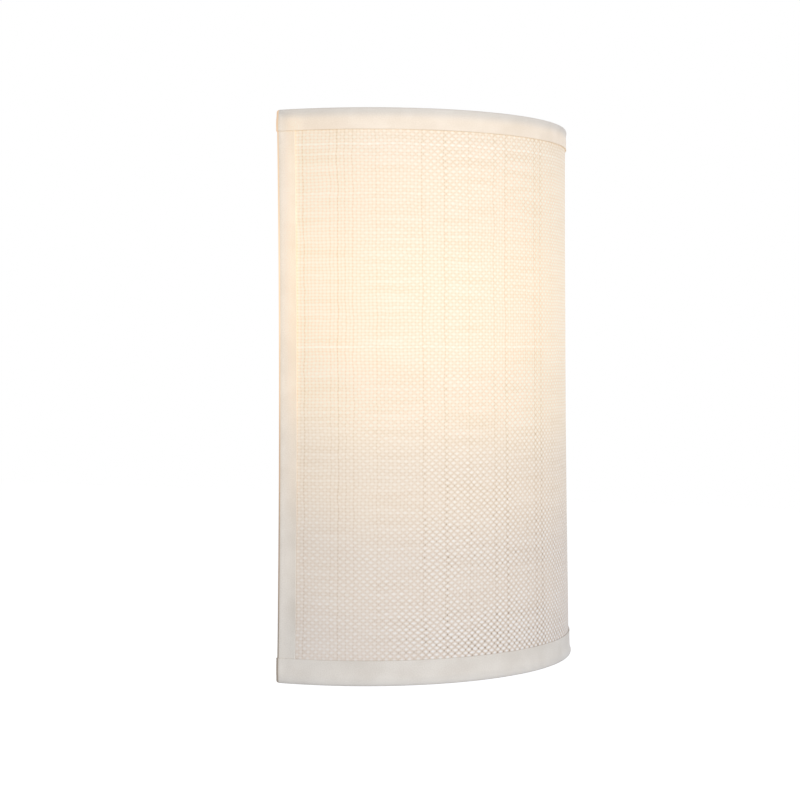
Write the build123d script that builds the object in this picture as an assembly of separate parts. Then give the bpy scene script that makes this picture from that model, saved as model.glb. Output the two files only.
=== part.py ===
from build123d import *
import os
from math import ceil, degrees, pi

# Half-round fabric shade on a wall piece, millimetres. The wall is the plane Y = 0, the light
# stands forward of it towards -Y, +Z is up, and the origin is the middle of the wall face.

# Shade: cloth on a stiff liner, hemmed over a frame of round wire.
shade_height = 305.0
bottom_radius = 116.4  # outside of the cloth at the bottom edge
shade_taper = 2.4  # how much smaller the radius is at the top edge
fabric_thickness = 0.6
liner_thickness = 0.5
binding_thickness = 0.6
wire_diameter = 3.0
top_hem = 11.5
bottom_hem = 13.5
side_hem = 10.5
inner_hem = 8.0  # inner leaf of every hem
roll_reach = 5.0  # from a wire to where its hem lies flat on the laminate
roll_tail = 0.2
wall_gap = 1.0

# Wall piece: pressed tray over a slotted crossbar.
pan_width = 120.0
pan_height = 240.0
pan_depth = 22.0
pan_sheet = 1.2
pan_corner = 10.0
pan_edge = 3.0
bracket_length = 110.0
bracket_width = 22.0
bracket_thickness = 2.0
slot_spacing = 88.9  # fixing slots of the crossbar
slot_width = 4.8
slot_length = 12.0
pan_screw_spacing = 62.0
pan_screw_radius = 2.0
pan_screw_head_radius = 4.0
pan_screw_head = 2.4
bracket_collar_radius = 3.4
bracket_collar = 2.0
cable_hole_radius = 5.2

# Shade fixing: studs on the tray, straps across the shade and knurled nuts.
hanger_level = 105.0  # straps, studs and nuts above and below the middle
strap_thickness = 1.5
strap_width = 12.0
strap_bend = 4.0
strap_overhang = 6.0  # flat of the strap past each side of the tray
strap_ramp = 16.0
stud_radius = 2.0
stud_length = 13.0
nut_radius = 7.0
nut_head = 5.5
nut_collar_radius = 4.6
nut_collar = 3.0
nut_flutes = 18
nut_flute_radius = 0.7

# Lamp arm, lampholder and lamp, all on one upright axis.
lamp_out = 64.0  # lamp axis from the wall
arm_top = -50.0  # upper face of the arm's shelf
arm_width = 32.0
arm_thickness = 2.0
arm_leg = 42.0
arm_bend = 3.0
arm_corner = 6.0
rivet_radius = 1.6
rivet_head_radius = 3.0
rivet_head = 1.2
rivet_spacing = 20.0
rivet_drop = 34.0  # rivets below the shelf
nipple_radius = 5.0
nipple_bore = 3.5
nipple_above = 4.0
nipple_below = 6.0
nipple_nut_flats = 14.0
nipple_nut_height = 3.0
dome_height = 18.0
dome_boss_radius = 8.5
dome_boss = 3.0
dome_slope = 7.0
dome_round = 2.5
holder_radius = 20.0
holder_wall = 2.0
barrel_height = 32.0
barrel_lip = 2.0
barrel_band = 6.0
barrel_step = 0.8
barrel_chamfer = 1.2
carrier_height = 10.0
carrier_ledge = 0.5
carrier_key_width = 5.0
carrier_key_depth = 1.5
shell_radius = 13.3  # inside of the screw shell's crests
shell_ripple = 0.9
shell_sheet = 0.35
thread_pitch = 3.63
thread_foot = 0.1  # shares of the pitch where a thread's foot and its crest begin
thread_crest = 0.4
shell_height = 19.0
contact_lift = 3.7
contact_width = 6.0
contact_sheet = 0.5
contact_reach = 8.0
contact_heel = 2.0
contact_toe = 4.0
contact_dip = 1.0
contact_bend = 2.0
holder_terminal = 6.0
holder_terminal_height = 5.0
holder_terminal_out = 10.0  # terminals each side of the axis
holder_terminal_roof = 1.0
holder_screw_radius = 1.0
holder_screw_head_radius = 1.8
holder_screw_head = 1.2
holder_screw_stop = 1.0

bulb_radius = 30.0
bulb_length = 108.0
bulb_split = 10.0  # diffuser's edge below the bulb's widest level
bulb_wall = 1.2
cap_radius = 12.9
cap_height = 20.0
tip_radius = 4.5
tip_height = 1.5
tip_taper = 1.0
insulator_height = 4.0
insulator_land = 1.5
insulator_margin = 2.0
neck_radius = 14.2
neck_height = 4.0
board_thickness = 1.6

# Wiring.
lead_radius = 1.1
lead_pair = 1.4  # each lead from the middle where the two lie side by side
lead_drop = 22.0  # level of the leads' way through the tray, below the shelf
lead_bend = 6.0
lead_tail = 2.2  # straight below each lampholder terminal
lead_gather = 1.6  # above the nipple, where the two leads meet
lead_entry = 3.0  # above the block, where they turn down into it
grommet_flange_radius = 6.6
grommet_flange = 1.2
grommet_radius = 4.7
grommet_bore = 3.0
block_pitch = 10.0
block_height = 16.0
block_depth = 13.0
block_drop = 16.0  # block's top below the leads' way through the tray
insert_radius = 2.4
insert_bore = 1.5
insert_inset = 0.5
block_corner = 1.5
block_waist = 1.2
block_waist_depth = 4.0
terminal_screw_radius = 1.3
terminal_head_radius = 1.8
terminal_head = 1.4
block_screw_radius = 1.5
block_screw_head_radius = 2.6
block_screw_head = 1.6
earth_across = 34.0
earth_level = -60.0
earth_stud_radius = 2.0
earth_stud_length = 10.0
earth_ring_radius = 4.2
earth_ring_sheet = 0.8
earth_barrel_length = 7.0
earth_nut_flats = 7.0
earth_nut_height = 3.2
earth_neck = 3.0
earth_rise = 8.0
earth_slant = 4.0
earth_dip = 12.0
earth_bend = 5.0

# Clearances.
wire_fit = 0.05
butt_gap = 0.1
seam_gap = 0.1
corner_ease = 0.04
thread_fit = 0.04
hole_fit = 0.3
rest_gap = 0.1
cap_fit = 0.3

wire_radius = wire_diameter / 2
laminate = fabric_thickness + liner_thickness
roll_radius = wire_radius + wire_fit + binding_thickness
shade_back = wall_gap + roll_radius  # shade's axis from the wall
half_height = shade_height / 2
ring_level = half_height - roll_radius
lamp_axis = Pos(0, -lamp_out, 0)
UP = (Align.CENTER, Align.CENTER, Align.MIN)

os.makedirs("parts", exist_ok=True)


def save(name, shape):
    shape.label = name
    export_step(shape, f"parts/{name}.step")


def ahead(distance, x=0.0, z=0.0):
    """A place at a distance in front of the wall, its own Z pointing forward and its Y up."""
    return Plane.XZ.offset(distance) * Pos(x, z)


def radius_at(z):
    """Outside radius of the cloth at a height."""
    return bottom_radius - shade_taper * (z / shade_height + 0.5)


def layer(outer, inner, low, high):
    """Radius-height outline between two depths under the cloth's face, from one level to another."""
    corners = [
        (radius_at(low) - outer, low),
        (radius_at(high) - outer, high),
        (radius_at(high) - inner, high),
        (radius_at(low) - inner, low),
    ]
    return make_face(Polyline(*corners, close=True))


def round_shade(outline, start=0.0, sweep_angle=180.0):
    """Turn an outline about the shade's axis, from the left edge round the front."""
    turned = revolve(Plane.XZ * outline, Axis.Z, sweep_angle)
    return Pos(0, -shade_back, 0) * Rot(0, 0, 180 + start) * turned


def bead(cover):
    """Section of a rolled edge: the wire's round drawn down to the laminate's thickness."""
    wire_part = Circle(wire_radius + wire_fit + cover)
    flat_part = Pos(roll_reach, 0) * Rectangle(roll_tail, laminate + 2 * cover)
    return make_hull(wire_part.edges() + flat_part.edges())


def wire_radius_at(z):
    """Radius of the wires' centre line, in the middle of the laminate."""
    return radius_at(z) - laminate / 2


def side_roll(section, low, high):
    """Carry a section up the right edge; its +X there points round the shade."""
    path = Line((wire_radius_at(low), -shade_back, low), (wire_radius_at(high), -shade_back, high))
    start = Plane(path @ 0, x_dir=(0, -1, 0), z_dir=path % 0)
    return extrude(start * section, path.length)


def both_sides(shape):
    return shape + mirror(shape, Plane.YZ)


# Laminate: liner and cloth butt against the wires on all four edges.
edge_angle = degrees((wire_radius + butt_gap) / bottom_radius)
laminate_low = -ring_level + wire_radius + butt_gap
laminate_high = ring_level - wire_radius - butt_gap


def sheet(outer, inner):
    outline = layer(outer, inner, laminate_low, laminate_high)
    return round_shade(outline, edge_angle, 180 - 2 * edge_angle)


shade_fabric = sheet(0, fabric_thickness)
shade_liner = sheet(fabric_thickness, laminate)
save("shade_fabric", shade_fabric)
save("shade_liner", shade_liner)
laminate_room = sheet(0, laminate)


# Frame: half rings with rounded welded ends, and side wires coped under them.
def corner_balls(radius, level):
    ball = Pos(wire_radius_at(level), -shade_back, level) * Sphere(radius)
    return both_sides(ball)


def half_tube(radius, level):
    """Round bar bent along a ring's centre line."""
    return round_shade(Pos(wire_radius_at(level), level) * Circle(radius))


def side_tubes(radius, low, high):
    return both_sides(side_roll(Circle(radius), low, high))


top_ring = half_tube(wire_radius, ring_level) + corner_balls(wire_radius, ring_level)
bottom_ring = half_tube(wire_radius, -ring_level) + corner_balls(wire_radius, -ring_level)
side_wires = side_tubes(wire_radius, -ring_level, ring_level) - top_ring - bottom_ring
save("top_ring", top_ring)
save("bottom_ring", bottom_ring)
save("side_wires", side_wires)


# Hangers: straps that step forward over the tray, welded to the side wires.
strap_face = pan_depth + strap_thickness / 2
flat_half = pan_width / 2 + strap_overhang


def hanger(level):
    end = wire_radius_at(level)
    right = [
        (flat_half, -strap_face),
        (flat_half + strap_ramp, -shade_back),
        (end, -shade_back),
    ]
    left = [(-x, y) for x, y in reversed(right)]
    strap = extrude(trace(FilletPolyline(*left, *right, radius=strap_bend), strap_thickness), strap_width)
    strap = Pos(0, 0, level - strap_width / 2) * strap
    hole = ahead(0, 0, level) * Cylinder(stud_radius + hole_fit, 3 * strap_face)
    return strap - hole - side_wires


for name, level in (("upper_hanger", hanger_level), ("lower_hanger", -hanger_level)):
    save(name, hanger(level))


# Hems: cloth folded over each wire, with a long outer and a short inner leaf on the laminate.
def leaf_pair(hem_length):
    """Depths of the outer and the inner leaf, each reaching halfway into the laminate, and lengths."""
    outer_leaf = (-binding_thickness, laminate / 2, hem_length)
    inner_leaf = (laminate / 2, laminate + binding_thickness, inner_hem)
    return outer_leaf, inner_leaf


def round_hem(level, hem_length):
    """Hem over a ring wire, still solid where the wire and the laminate lie."""
    inward = -1 if level > 0 else 1
    outline = Pos(wire_radius_at(level), level) * Rot(0, 0, 90 * inward) * bead(binding_thickness)
    edge = level - inward * roll_radius
    start = level + inward * roll_reach
    for outer, inner, length in leaf_pair(hem_length):
        stop = edge + inward * length
        outline += layer(outer, inner, min(start, stop), max(start, stop))
    return round_shade(outline)


def side_hems():
    """The same up both side edges."""
    hem = side_roll(bead(binding_thickness), -ring_level, ring_level)
    start_angle = degrees(roll_reach / bottom_radius)
    for outer, inner, length in leaf_pair(side_hem):
        angle = degrees((length - roll_radius) / bottom_radius) - start_angle
        outline = layer(outer, inner, -ring_level, ring_level)
        hem += round_shade(outline, 180 - start_angle - angle, angle)
    return both_sides(hem)


room_radius = wire_radius + wire_fit
seam_high = half_height - top_hem
seam_low = -half_height + bottom_hem
for name, level, hem_length, low, high in (
    ("top_binding", ring_level, top_hem, seam_high, ring_level),
    ("bottom_binding", -ring_level, bottom_hem, -ring_level, seam_low),
):
    hem = side_tubes(roll_radius - corner_ease, low, high)
    hem += corner_balls(roll_radius + corner_ease, level)
    hem += round_hem(level, hem_length)
    hem -= half_tube(room_radius, level)
    hem -= corner_balls(room_radius + corner_ease, level)
    hem -= side_tubes(room_radius, low - seam_gap, high + seam_gap)
    save(name, hem - laminate_room)

between = Pos(0, 0, (seam_low + seam_high) / 2) * Box(
    3 * bottom_radius, 3 * bottom_radius, seam_high - seam_low - 2 * seam_gap
)
side_bindings = side_hems() & between
side_bindings -= side_tubes(room_radius, -ring_level, ring_level)
side_bindings -= laminate_room
for level in (hanger_level, -hanger_level):
    slit = Box(
        2 * wire_radius_at(level),
        strap_thickness + 2 * hole_fit,
        strap_width + 2 * hole_fit,
    )
    side_bindings -= Pos(0, -shade_back, level) * slit
for name, side in (("left_side_binding", -1), ("right_side_binding", 1)):
    half_space = Pos(side * bottom_radius, 0, 0) * Box(
        2 * bottom_radius, 4 * bottom_radius, shade_height
    )
    save(name, side_bindings & half_space)


# Thumb nuts: a knurled head on a plain collar that bears on the strap.
def thumb_nut(level):
    collar = Cylinder(nut_collar_radius, nut_collar, align=UP)
    head = Pos(0, 0, nut_collar) * Cylinder(nut_radius, nut_head, align=UP)
    head = chamfer(head.edges().filter_by(GeomType.CIRCLE), nut_flute_radius)
    flute = Pos(nut_radius, 0, nut_collar) * Cylinder(nut_flute_radius, nut_head, align=UP)
    for index in range(nut_flutes):
        head -= Rot(0, 0, index * 360 / nut_flutes) * flute
    nut = collar + head - Cylinder(stud_radius + thread_fit, 4 * nut_head)
    return ahead(pan_depth + strap_thickness + rest_gap, 0, level) * nut


save("upper_thumb_nut", thumb_nut(hanger_level))
save("lower_thumb_nut", thumb_nut(-hanger_level))

# Crossbar: flat bar with two fixing slots, a cable hole and two tapped collars.
bracket_blank = SlotOverall(bracket_length, bracket_width)
slots = Sketch() + [
    Pos(side * slot_spacing / 2, 0) * SlotOverall(slot_length, slot_width) for side in (-1, 1)
]
bracket = extrude(ahead(0) * (bracket_blank - slots - Circle(cable_hole_radius)), bracket_thickness)
for side in (-1, 1):
    at_screw = ahead(0, side * pan_screw_spacing / 2)
    bracket += at_screw * Cylinder(bracket_collar_radius, bracket_thickness + bracket_collar, align=UP)
    bracket -= at_screw * Cylinder(pan_screw_radius + thread_fit, 4 * bracket_thickness)
save("wall_bracket", bracket)

# Tray: pressed steel with rounded corners, open to the wall.
lead_level = arm_top - lead_drop
rivet_level = arm_top - rivet_drop
block_top = lead_level - block_drop
block_level = block_top - block_height / 2
pan = extrude(ahead(0) * RectangleRounded(pan_width, pan_height, pan_corner), pan_depth)
pan = fillet(pan.faces().sort_by(Axis.Y)[0].edges(), pan_edge)
pan = offset(pan, amount=-pan_sheet, openings=pan.faces().sort_by(Axis.Y)[-1])
pan_holes = [
    (-pan_screw_spacing / 2, 0, pan_screw_radius + hole_fit),
    (pan_screw_spacing / 2, 0, pan_screw_radius + hole_fit),
    (-rivet_spacing / 2, rivet_level, rivet_radius + wire_fit),
    (rivet_spacing / 2, rivet_level, rivet_radius + wire_fit),
    (0, lead_level, grommet_radius + wire_fit),
    (block_pitch / 2, block_level, block_screw_radius + wire_fit),
]
for x, z, radius in pan_holes:
    pan -= ahead(0, x, z) * Cylinder(radius, 3 * pan_depth)
save("wall_pan", pan)


def screw(shank_radius, shank_length, head_radius, head_height):
    """Domed screw that points into the work along -Z, its head standing on Z = 0."""
    rise = head_height
    ball_radius = (head_radius**2 + rise**2) / (2 * rise)
    head = Pos(0, 0, rise - ball_radius) * Sphere(ball_radius)
    head &= Cylinder(head_radius, head_height, align=UP)
    head -= Pos(0, 0, head_height) * Box(3 * head_radius, head_radius / 4, head_height)
    return head + Pos(0, 0, -shank_length) * Cylinder(shank_radius, shank_length, align=UP)


pan_screw = screw(
    pan_screw_radius, pan_depth - bracket_thickness / 2, pan_screw_head_radius, pan_screw_head
)
pan_screws = [
    ahead(pan_depth, side * pan_screw_spacing / 2) * pan_screw for side in (-1, 1)
]
save("pan_screws", Compound(pan_screws))

shade_studs = [
    ahead(pan_depth, 0, level) * Cylinder(stud_radius, stud_length, align=UP)
    for level in (hanger_level, -hanger_level)
]
save("shade_studs", Compound(shade_studs))

# Lamp arm: strip bent to an angle, its shelf rounded about the lamp axis.
leg_face = pan_depth + arm_thickness / 2
shelf_middle = arm_top - arm_thickness / 2
arm_line = FilletPolyline(
    (-leg_face, arm_top - arm_leg),
    (-leg_face, shelf_middle),
    (-lamp_out - arm_width / 2, shelf_middle),
    radius=arm_bend,
)
arm_side = Plane.YZ * trace(arm_line, arm_thickness)
arm = Pos(-arm_width / 2, 0, 0) * extrude(arm_side, arm_width)
shelf_plan = Pos(0, -lamp_out) * Circle(arm_width / 2)
shelf_plan += Pos(0, -lamp_out / 2) * Rectangle(arm_width, lamp_out)
arm &= Pos(0, 0, -2 * arm_leg) * extrude(shelf_plan, 3 * arm_leg)
foot_edges = arm.edges().filter_by(Axis.Y).sort_by(Axis.Z)[:2]
arm = fillet(foot_edges, arm_corner)
arm -= lamp_axis * Pos(0, 0, arm_top) * Cylinder(nipple_radius + wire_fit, 4 * arm_thickness)
arm -= ahead(pan_depth, 0, lead_level) * Cylinder(grommet_radius + wire_fit, 4 * arm_thickness)
for side in (-1, 1):
    at_rivet = ahead(pan_depth, side * rivet_spacing / 2, rivet_level)
    arm -= at_rivet * Cylinder(rivet_radius + wire_fit, 4 * arm_thickness)
save("lamp_arm", arm)

rivet = Cylinder(rivet_radius, pan_sheet + arm_thickness, align=UP)
rivet += Pos(0, 0, -rivet_head) * Cylinder(rivet_head_radius - rivet_radius / 4, rivet_head, align=UP)
rivet_cap = Pos(0, 0, pan_sheet + arm_thickness) * Cylinder(rivet_head_radius, rivet_head, align=UP)
rivet += chamfer(rivet_cap.edges().group_by(Axis.Z)[-1], rivet_head / 2)
rivets = [
    ahead(pan_depth - pan_sheet, side * rivet_spacing / 2, rivet_level) * rivet for side in (-1, 1)
]
save("arm_rivets", Compound(rivets))

# Nipple and nut that clamp the lampholder on the arm.
nipple_low = arm_top - arm_thickness - nipple_below
nipple_high = arm_top + nipple_above
nipple = Cylinder(nipple_radius, nipple_high - nipple_low, align=UP)
nipple -= Cylinder(nipple_bore, 3 * (nipple_high - nipple_low))
save("arm_nipple", lamp_axis * Pos(0, 0, nipple_low) * nipple)


def hex_nut(flats, hole_radius, height):
    plan = RegularPolygon(flats / 2, 6, major_radius=False) - Circle(hole_radius + thread_fit)
    return extrude(plan, height)


nipple_nut = hex_nut(nipple_nut_flats, nipple_radius, nipple_nut_height)
save("nipple_nut", lamp_axis * Pos(0, 0, arm_top - arm_thickness - nipple_nut_height) * nipple_nut)


def turned(outline):
    """Solid of revolution about the lamp axis from a closed radius-height outline."""
    return lamp_axis * revolve(Plane.XZ * make_face(outline), Axis.Z, 360)


def straight(*points):
    """Closed outline of straight lines."""
    return Polyline(*points, close=True).edges()


# Lampholder: dome, barrel, ceramic carrier, rippled screw shell and spring contact.
dome_top = arm_top + dome_height
barrel_top = dome_top + barrel_height
dome_hole = nipple_radius + thread_fit
holder_inside = holder_radius - holder_wall
slope_low = arm_top + dome_boss
slope_high = slope_low + dome_slope
slope_rise = dome_slope / (holder_radius - dome_boss_radius)
floor_lift = holder_wall * (1 + slope_rise**2) ** 0.5  # wall of the slope, measured upright
dome_outside = FilletPolyline(
    (dome_boss_radius, arm_top),
    (dome_boss_radius, slope_low),
    (holder_radius, slope_high),
    (holder_radius, dome_top),
    radius=dome_round,
)
inner_corner = slope_high + floor_lift - holder_wall * slope_rise
dome_floor = slope_low + floor_lift - (dome_boss_radius - dome_hole) * slope_rise
dome_rest = Polyline(
    dome_outside @ 1,
    (holder_inside, dome_top),
    (holder_inside, inner_corner),
    (dome_hole, dome_floor),
    (dome_hole, arm_top),
    dome_outside @ 0,
)
save("lampholder_dome", turned([*dome_outside.edges(), *dome_rest.edges()]))

carrier_radius = holder_inside - wire_fit
carrier_top = dome_top + carrier_height
mouth_radius = shell_radius + shell_sheet + cap_fit
band_top = dome_top + barrel_band
skirt_radius = holder_radius - barrel_step
skirt_inside = holder_inside - barrel_step
skirt_low = carrier_top + carrier_ledge
barrel_outline = straight(
    (holder_inside, dome_top),
    (holder_radius, dome_top),
    (holder_radius, band_top),
    (skirt_radius, band_top + barrel_step),
    (skirt_radius, barrel_top - barrel_lip),
    (skirt_radius - barrel_chamfer, barrel_top),
    (mouth_radius, barrel_top),
    (mouth_radius, barrel_top - barrel_lip),
    (skirt_inside, barrel_top - barrel_lip),
    (skirt_inside, skirt_low),
    (holder_inside, skirt_low),
)
save("lampholder_barrel", turned(barrel_outline))

carrier = Pos(0, 0, dome_top) * Cylinder(carrier_radius, carrier_height, align=UP)
for side in (-1, 1):
    key = Box(2 * carrier_key_depth, carrier_key_width, 3 * carrier_height)
    carrier -= Pos(side * carrier_radius, 0, dome_top) * key
save("terminal_carrier", lamp_axis * carrier)


def ripple(radius, low, height):
    """Radius-height points up a rolled thread; every thread keeps step with the shell's foot."""
    points = [(radius - shell_ripple, low)]
    foot = carrier_top + ceil((low - carrier_top) / thread_pitch) * thread_pitch
    while foot + thread_pitch < low + height:
        for out, rise in (
            (-shell_ripple, thread_foot),
            (0, thread_crest),
            (0, 1 - thread_crest),
            (-shell_ripple, 1 - thread_foot),
        ):
            points.append((radius + out, foot + rise * thread_pitch))
        foot += thread_pitch
    points.append((radius - shell_ripple, low + height))
    return points


shell_inside = ripple(shell_radius, carrier_top, shell_height)
shell_outside = [(x + shell_sheet, z) for x, z in reversed(shell_inside)]
save("screw_shell", turned(straight(*shell_inside, *shell_outside)))

contact_face = contact_sheet / 2
contact_crown = carrier_top + contact_lift - contact_face
contact_line = FilletPolyline(
    (contact_reach, carrier_top + contact_face),
    (contact_heel, carrier_top + contact_face),
    (-contact_toe, contact_crown),
    (-contact_reach, contact_crown - contact_dip),
    radius=contact_bend,
)
contact = extrude(Plane.YZ * trace(contact_line, contact_sheet), contact_width)
save("centre_contact", lamp_axis * Pos(-contact_width / 2, 0, 0) * contact)

holder_terminals = []
holder_screws = []
holder_block = Box(holder_terminal, holder_terminal, holder_terminal_height)
lead_way = Cylinder(lead_radius + hole_fit / 2, holder_terminal_height)
holder_block -= Pos(0, 0, -holder_terminal_roof) * lead_way
screw_way = Cylinder(holder_screw_radius + thread_fit, holder_terminal / 2, align=UP)
holder_block -= Rot(90, 0, 0) * screw_way
holder_screw = screw(
    holder_screw_radius,
    holder_terminal / 2 - lead_radius - holder_screw_stop,
    holder_screw_head_radius,
    holder_screw_head,
)
for side in (-1, 1):
    place = lamp_axis * Pos(side * holder_terminal_out, 0, dome_top - holder_terminal_height / 2)
    holder_terminals.append(place * holder_block)
    holder_screws.append(place * Pos(0, -holder_terminal / 2, 0) * Rot(90, 0, 0) * holder_screw)
save("holder_terminals", Compound(holder_terminals))
save("holder_screws", Compound(holder_screws))

# Lamp: screw cap, white body, opal dome.
tip_level = carrier_top + contact_lift + rest_gap
bulb_top = tip_level + bulb_length
bulb_middle = bulb_top - bulb_radius
cap_low = tip_level + tip_height + insulator_height
cap_high = cap_low + cap_height
tip_high = tip_level + tip_height
tip_outline = straight(
    (0, tip_level), (tip_radius - tip_taper, tip_level), (tip_radius, tip_high), (0, tip_high)
)
save("bulb_contact", turned(tip_outline))
insulator_outline = straight(
    (0, tip_high),
    (tip_radius + insulator_land, tip_high),
    (cap_radius - insulator_margin, cap_low),
    (0, cap_low),
)
save("bulb_insulator", turned(insulator_outline))
cap_outline = straight((0, cap_low), *ripple(cap_radius, cap_low, cap_height), (0, cap_high))
save("bulb_cap", turned(cap_outline))

# Body and dome are one outline, split below the lamp's widest level.
split_level = bulb_middle - bulb_split
split_radius = (bulb_radius**2 - bulb_split**2) ** 0.5
split_slope = (bulb_split, split_radius)
foot_level = cap_high
neck_level = foot_level + neck_height


def bulb_half(outer):
    """Solid body of the lamp below the split, or the hollow inside it."""
    inset = 0 if outer else bulb_wall
    side = Spline(
        (neck_radius - inset, neck_level),
        (split_radius - inset, split_level),
        tangents=((0, 1), split_slope),
    )
    low = foot_level if outer else neck_level - neck_height / 2
    edge = Polyline(side @ 1, (0, split_level), (0, low), (neck_radius - inset, low), side @ 0)
    return turned([side, *edge.edges()])


bulb_body = bulb_half(True) - bulb_half(False)
save("bulb_body", bulb_body)

dome_ball = Sphere(bulb_radius) - Sphere(bulb_radius - bulb_wall)
dome_ball = Pos(0, 0, bulb_middle) * dome_ball
above_split = Pos(0, 0, split_level) * Cylinder(2 * bulb_radius, 3 * bulb_radius, align=UP)
save("bulb_dome", lamp_axis * (dome_ball & above_split))

board_radius = split_radius - bulb_wall - board_thickness * bulb_split / split_radius - rest_gap
board_level = split_level - board_thickness
board = Pos(0, 0, board_level) * Cylinder(board_radius, board_thickness, align=UP)
save("bulb_board", lamp_axis * (board - bulb_body.moved(lamp_axis.inverse())))

# Leads: from the lampholder's terminals down the nipple, through arm and tray, to the block.
entry_depth = pan_depth - pan_sheet - block_depth / 2
lead_end = dome_top - holder_terminal_height / 2
block_mouth = block_top - block_height / 4


def run_lead(name, route, radii):
    """Bend a lead along its route, and print its length and how full its tube is."""
    path = FilletPolyline(*route, radius=radii)
    tube = sweep(Plane(path @ 0, z_dir=path % 0) * Circle(lead_radius), path=path)
    fullness = tube.volume / (path.length * pi * lead_radius**2)
    print(name, "length", round(path.length, 1), "fullness", round(fullness, 4), "radii", radii)
    save(name, tube)


for name, side, pole in (("live_lead", -1, -block_pitch), ("neutral_lead", 1, 0.0)):
    start = side * holder_terminal_out
    inside = side * lead_pair
    route = [
        (start, -lamp_out, lead_end),
        (start, -lamp_out, dome_top - holder_terminal_height - lead_tail),
        (inside, -lamp_out, nipple_high + lead_gather),
        (inside, -lamp_out, lead_level),
        (inside, -entry_depth, lead_level),
        (pole, -entry_depth, block_top + lead_entry),
        (pole, -entry_depth, block_mouth),
    ]
    run_lead(name, route, [lead_tail - 0.2, lead_bend / 2 - 0.5, 1.5 * lead_bend, lead_bend, 5.0])

# Bush with a groove that the arm and the tray sit in together.
bush_length = arm_thickness + pan_sheet
bush = Cylinder(grommet_radius, bush_length, align=UP)
for low in (-grommet_flange, bush_length):
    bush += Pos(0, 0, low) * Cylinder(grommet_flange_radius, grommet_flange, align=UP)
bush -= Cylinder(grommet_bore, 4 * bush_length)
save("lead_grommet", ahead(pan_depth - pan_sheet, 0, lead_level) * bush)

# Terminal block in the tray: three poles with brass inserts, open downwards for the supply.
block_face = pan_depth - pan_sheet - block_depth
block = Box(3 * block_pitch, block_height, block_depth, align=UP)
block = fillet(block.edges().filter_by(Axis.Z), block_corner)
for side in (-1, 1):
    block -= Pos(side * block_pitch / 2, 0, 0) * Box(block_waist, 3 * block_height, 2 * block_waist_depth)
block -= Pos(block_pitch / 2, 0, 0) * Cylinder(block_screw_radius + wire_fit, 3 * block_depth)
block = ahead(block_face, 0, block_level) * block
insert_blank = Cylinder(insert_radius, block_height - 2 * insert_inset) - Cylinder(insert_bore, block_height)
inserts = []
terminal_screws = []
for pole in (-block_pitch, 0.0, block_pitch):
    at_pole = Pos(pole, -entry_depth, block_level)
    block -= at_pole * Cylinder(insert_radius + wire_fit, 2 * block_height)
    insert = at_pole * insert_blank
    for step in (-block_height / 4, block_height / 4):
        at_screw = Pos(pole, -block_face, block_level + step) * Rot(90, 0, 0)
        half_depth = block_depth / 2
        block -= at_screw * Cylinder(terminal_head_radius + hole_fit, half_depth, align=UP)
        insert -= at_screw * Cylinder(terminal_screw_radius + thread_fit, half_depth, align=UP)
        shank = Cylinder(terminal_screw_radius, half_depth - lead_radius - rest_gap, align=UP)
        terminal_screws.append(at_screw * (shank + Cylinder(terminal_head_radius, terminal_head, align=UP)))
    inserts.append(insert)
save("terminal_block", block)
save("terminal_inserts", Compound(inserts))
save("terminal_screws", Compound(terminal_screws))

block_screw = Cylinder(block_screw_radius, block_depth + pan_sheet, align=UP)
block_screw += Pos(0, 0, -block_screw_head) * Cylinder(block_screw_head_radius, block_screw_head, align=UP)
save("block_screw", ahead(block_face, block_pitch / 2, block_level) * block_screw)

# Earth: stud inside the tray, crimped ring and nut.
earth_face = pan_depth - pan_sheet
at_earth = ahead(earth_face, earth_across, earth_level) * Rot(180, 0, 0)
save("earth_stud", at_earth * Cylinder(earth_stud_radius, earth_stud_length, align=UP))

ring_plan = Circle(earth_ring_radius)
ring_plan += Pos(0, earth_ring_radius) * Rectangle(earth_neck, 2 * earth_ring_radius)
ring_plan -= Circle(earth_stud_radius + thread_fit)
crimp_centre = earth_ring_sheet + lead_radius
crimp_start = 2 * earth_ring_radius - earth_ring_sheet
crimp = Cylinder(crimp_centre, earth_barrel_length, align=UP)
crimp -= Cylinder(lead_radius + wire_fit, 3 * earth_barrel_length)
earth_ring = extrude(ring_plan, earth_ring_sheet)
earth_ring += Pos(0, crimp_start, crimp_centre) * Rot(-90, 0, 0) * crimp
save("earth_ring", at_earth * earth_ring)

earth_nut = hex_nut(earth_nut_flats, earth_stud_radius, earth_nut_height)
save("earth_nut", at_earth * Pos(0, 0, earth_ring_sheet) * earth_nut)

crimp_depth = earth_face - crimp_centre
crimp_foot = earth_level - crimp_start - earth_barrel_length
earth_route = [
    (block_pitch, -entry_depth, block_mouth),
    (block_pitch, -entry_depth, block_top + earth_rise),
    (earth_across - earth_slant, -crimp_depth, crimp_foot - earth_dip),
    (earth_across, -crimp_depth, crimp_foot - earth_slant),
    (earth_across, -crimp_depth, crimp_foot + earth_barrel_length - rest_gap),
]
run_lead("earth_lead", earth_route, [earth_bend] * 3)
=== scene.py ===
import bpy
import bmesh
from math import cos, pi, radians, sin
from mathutils import Matrix, Vector, noise


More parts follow.
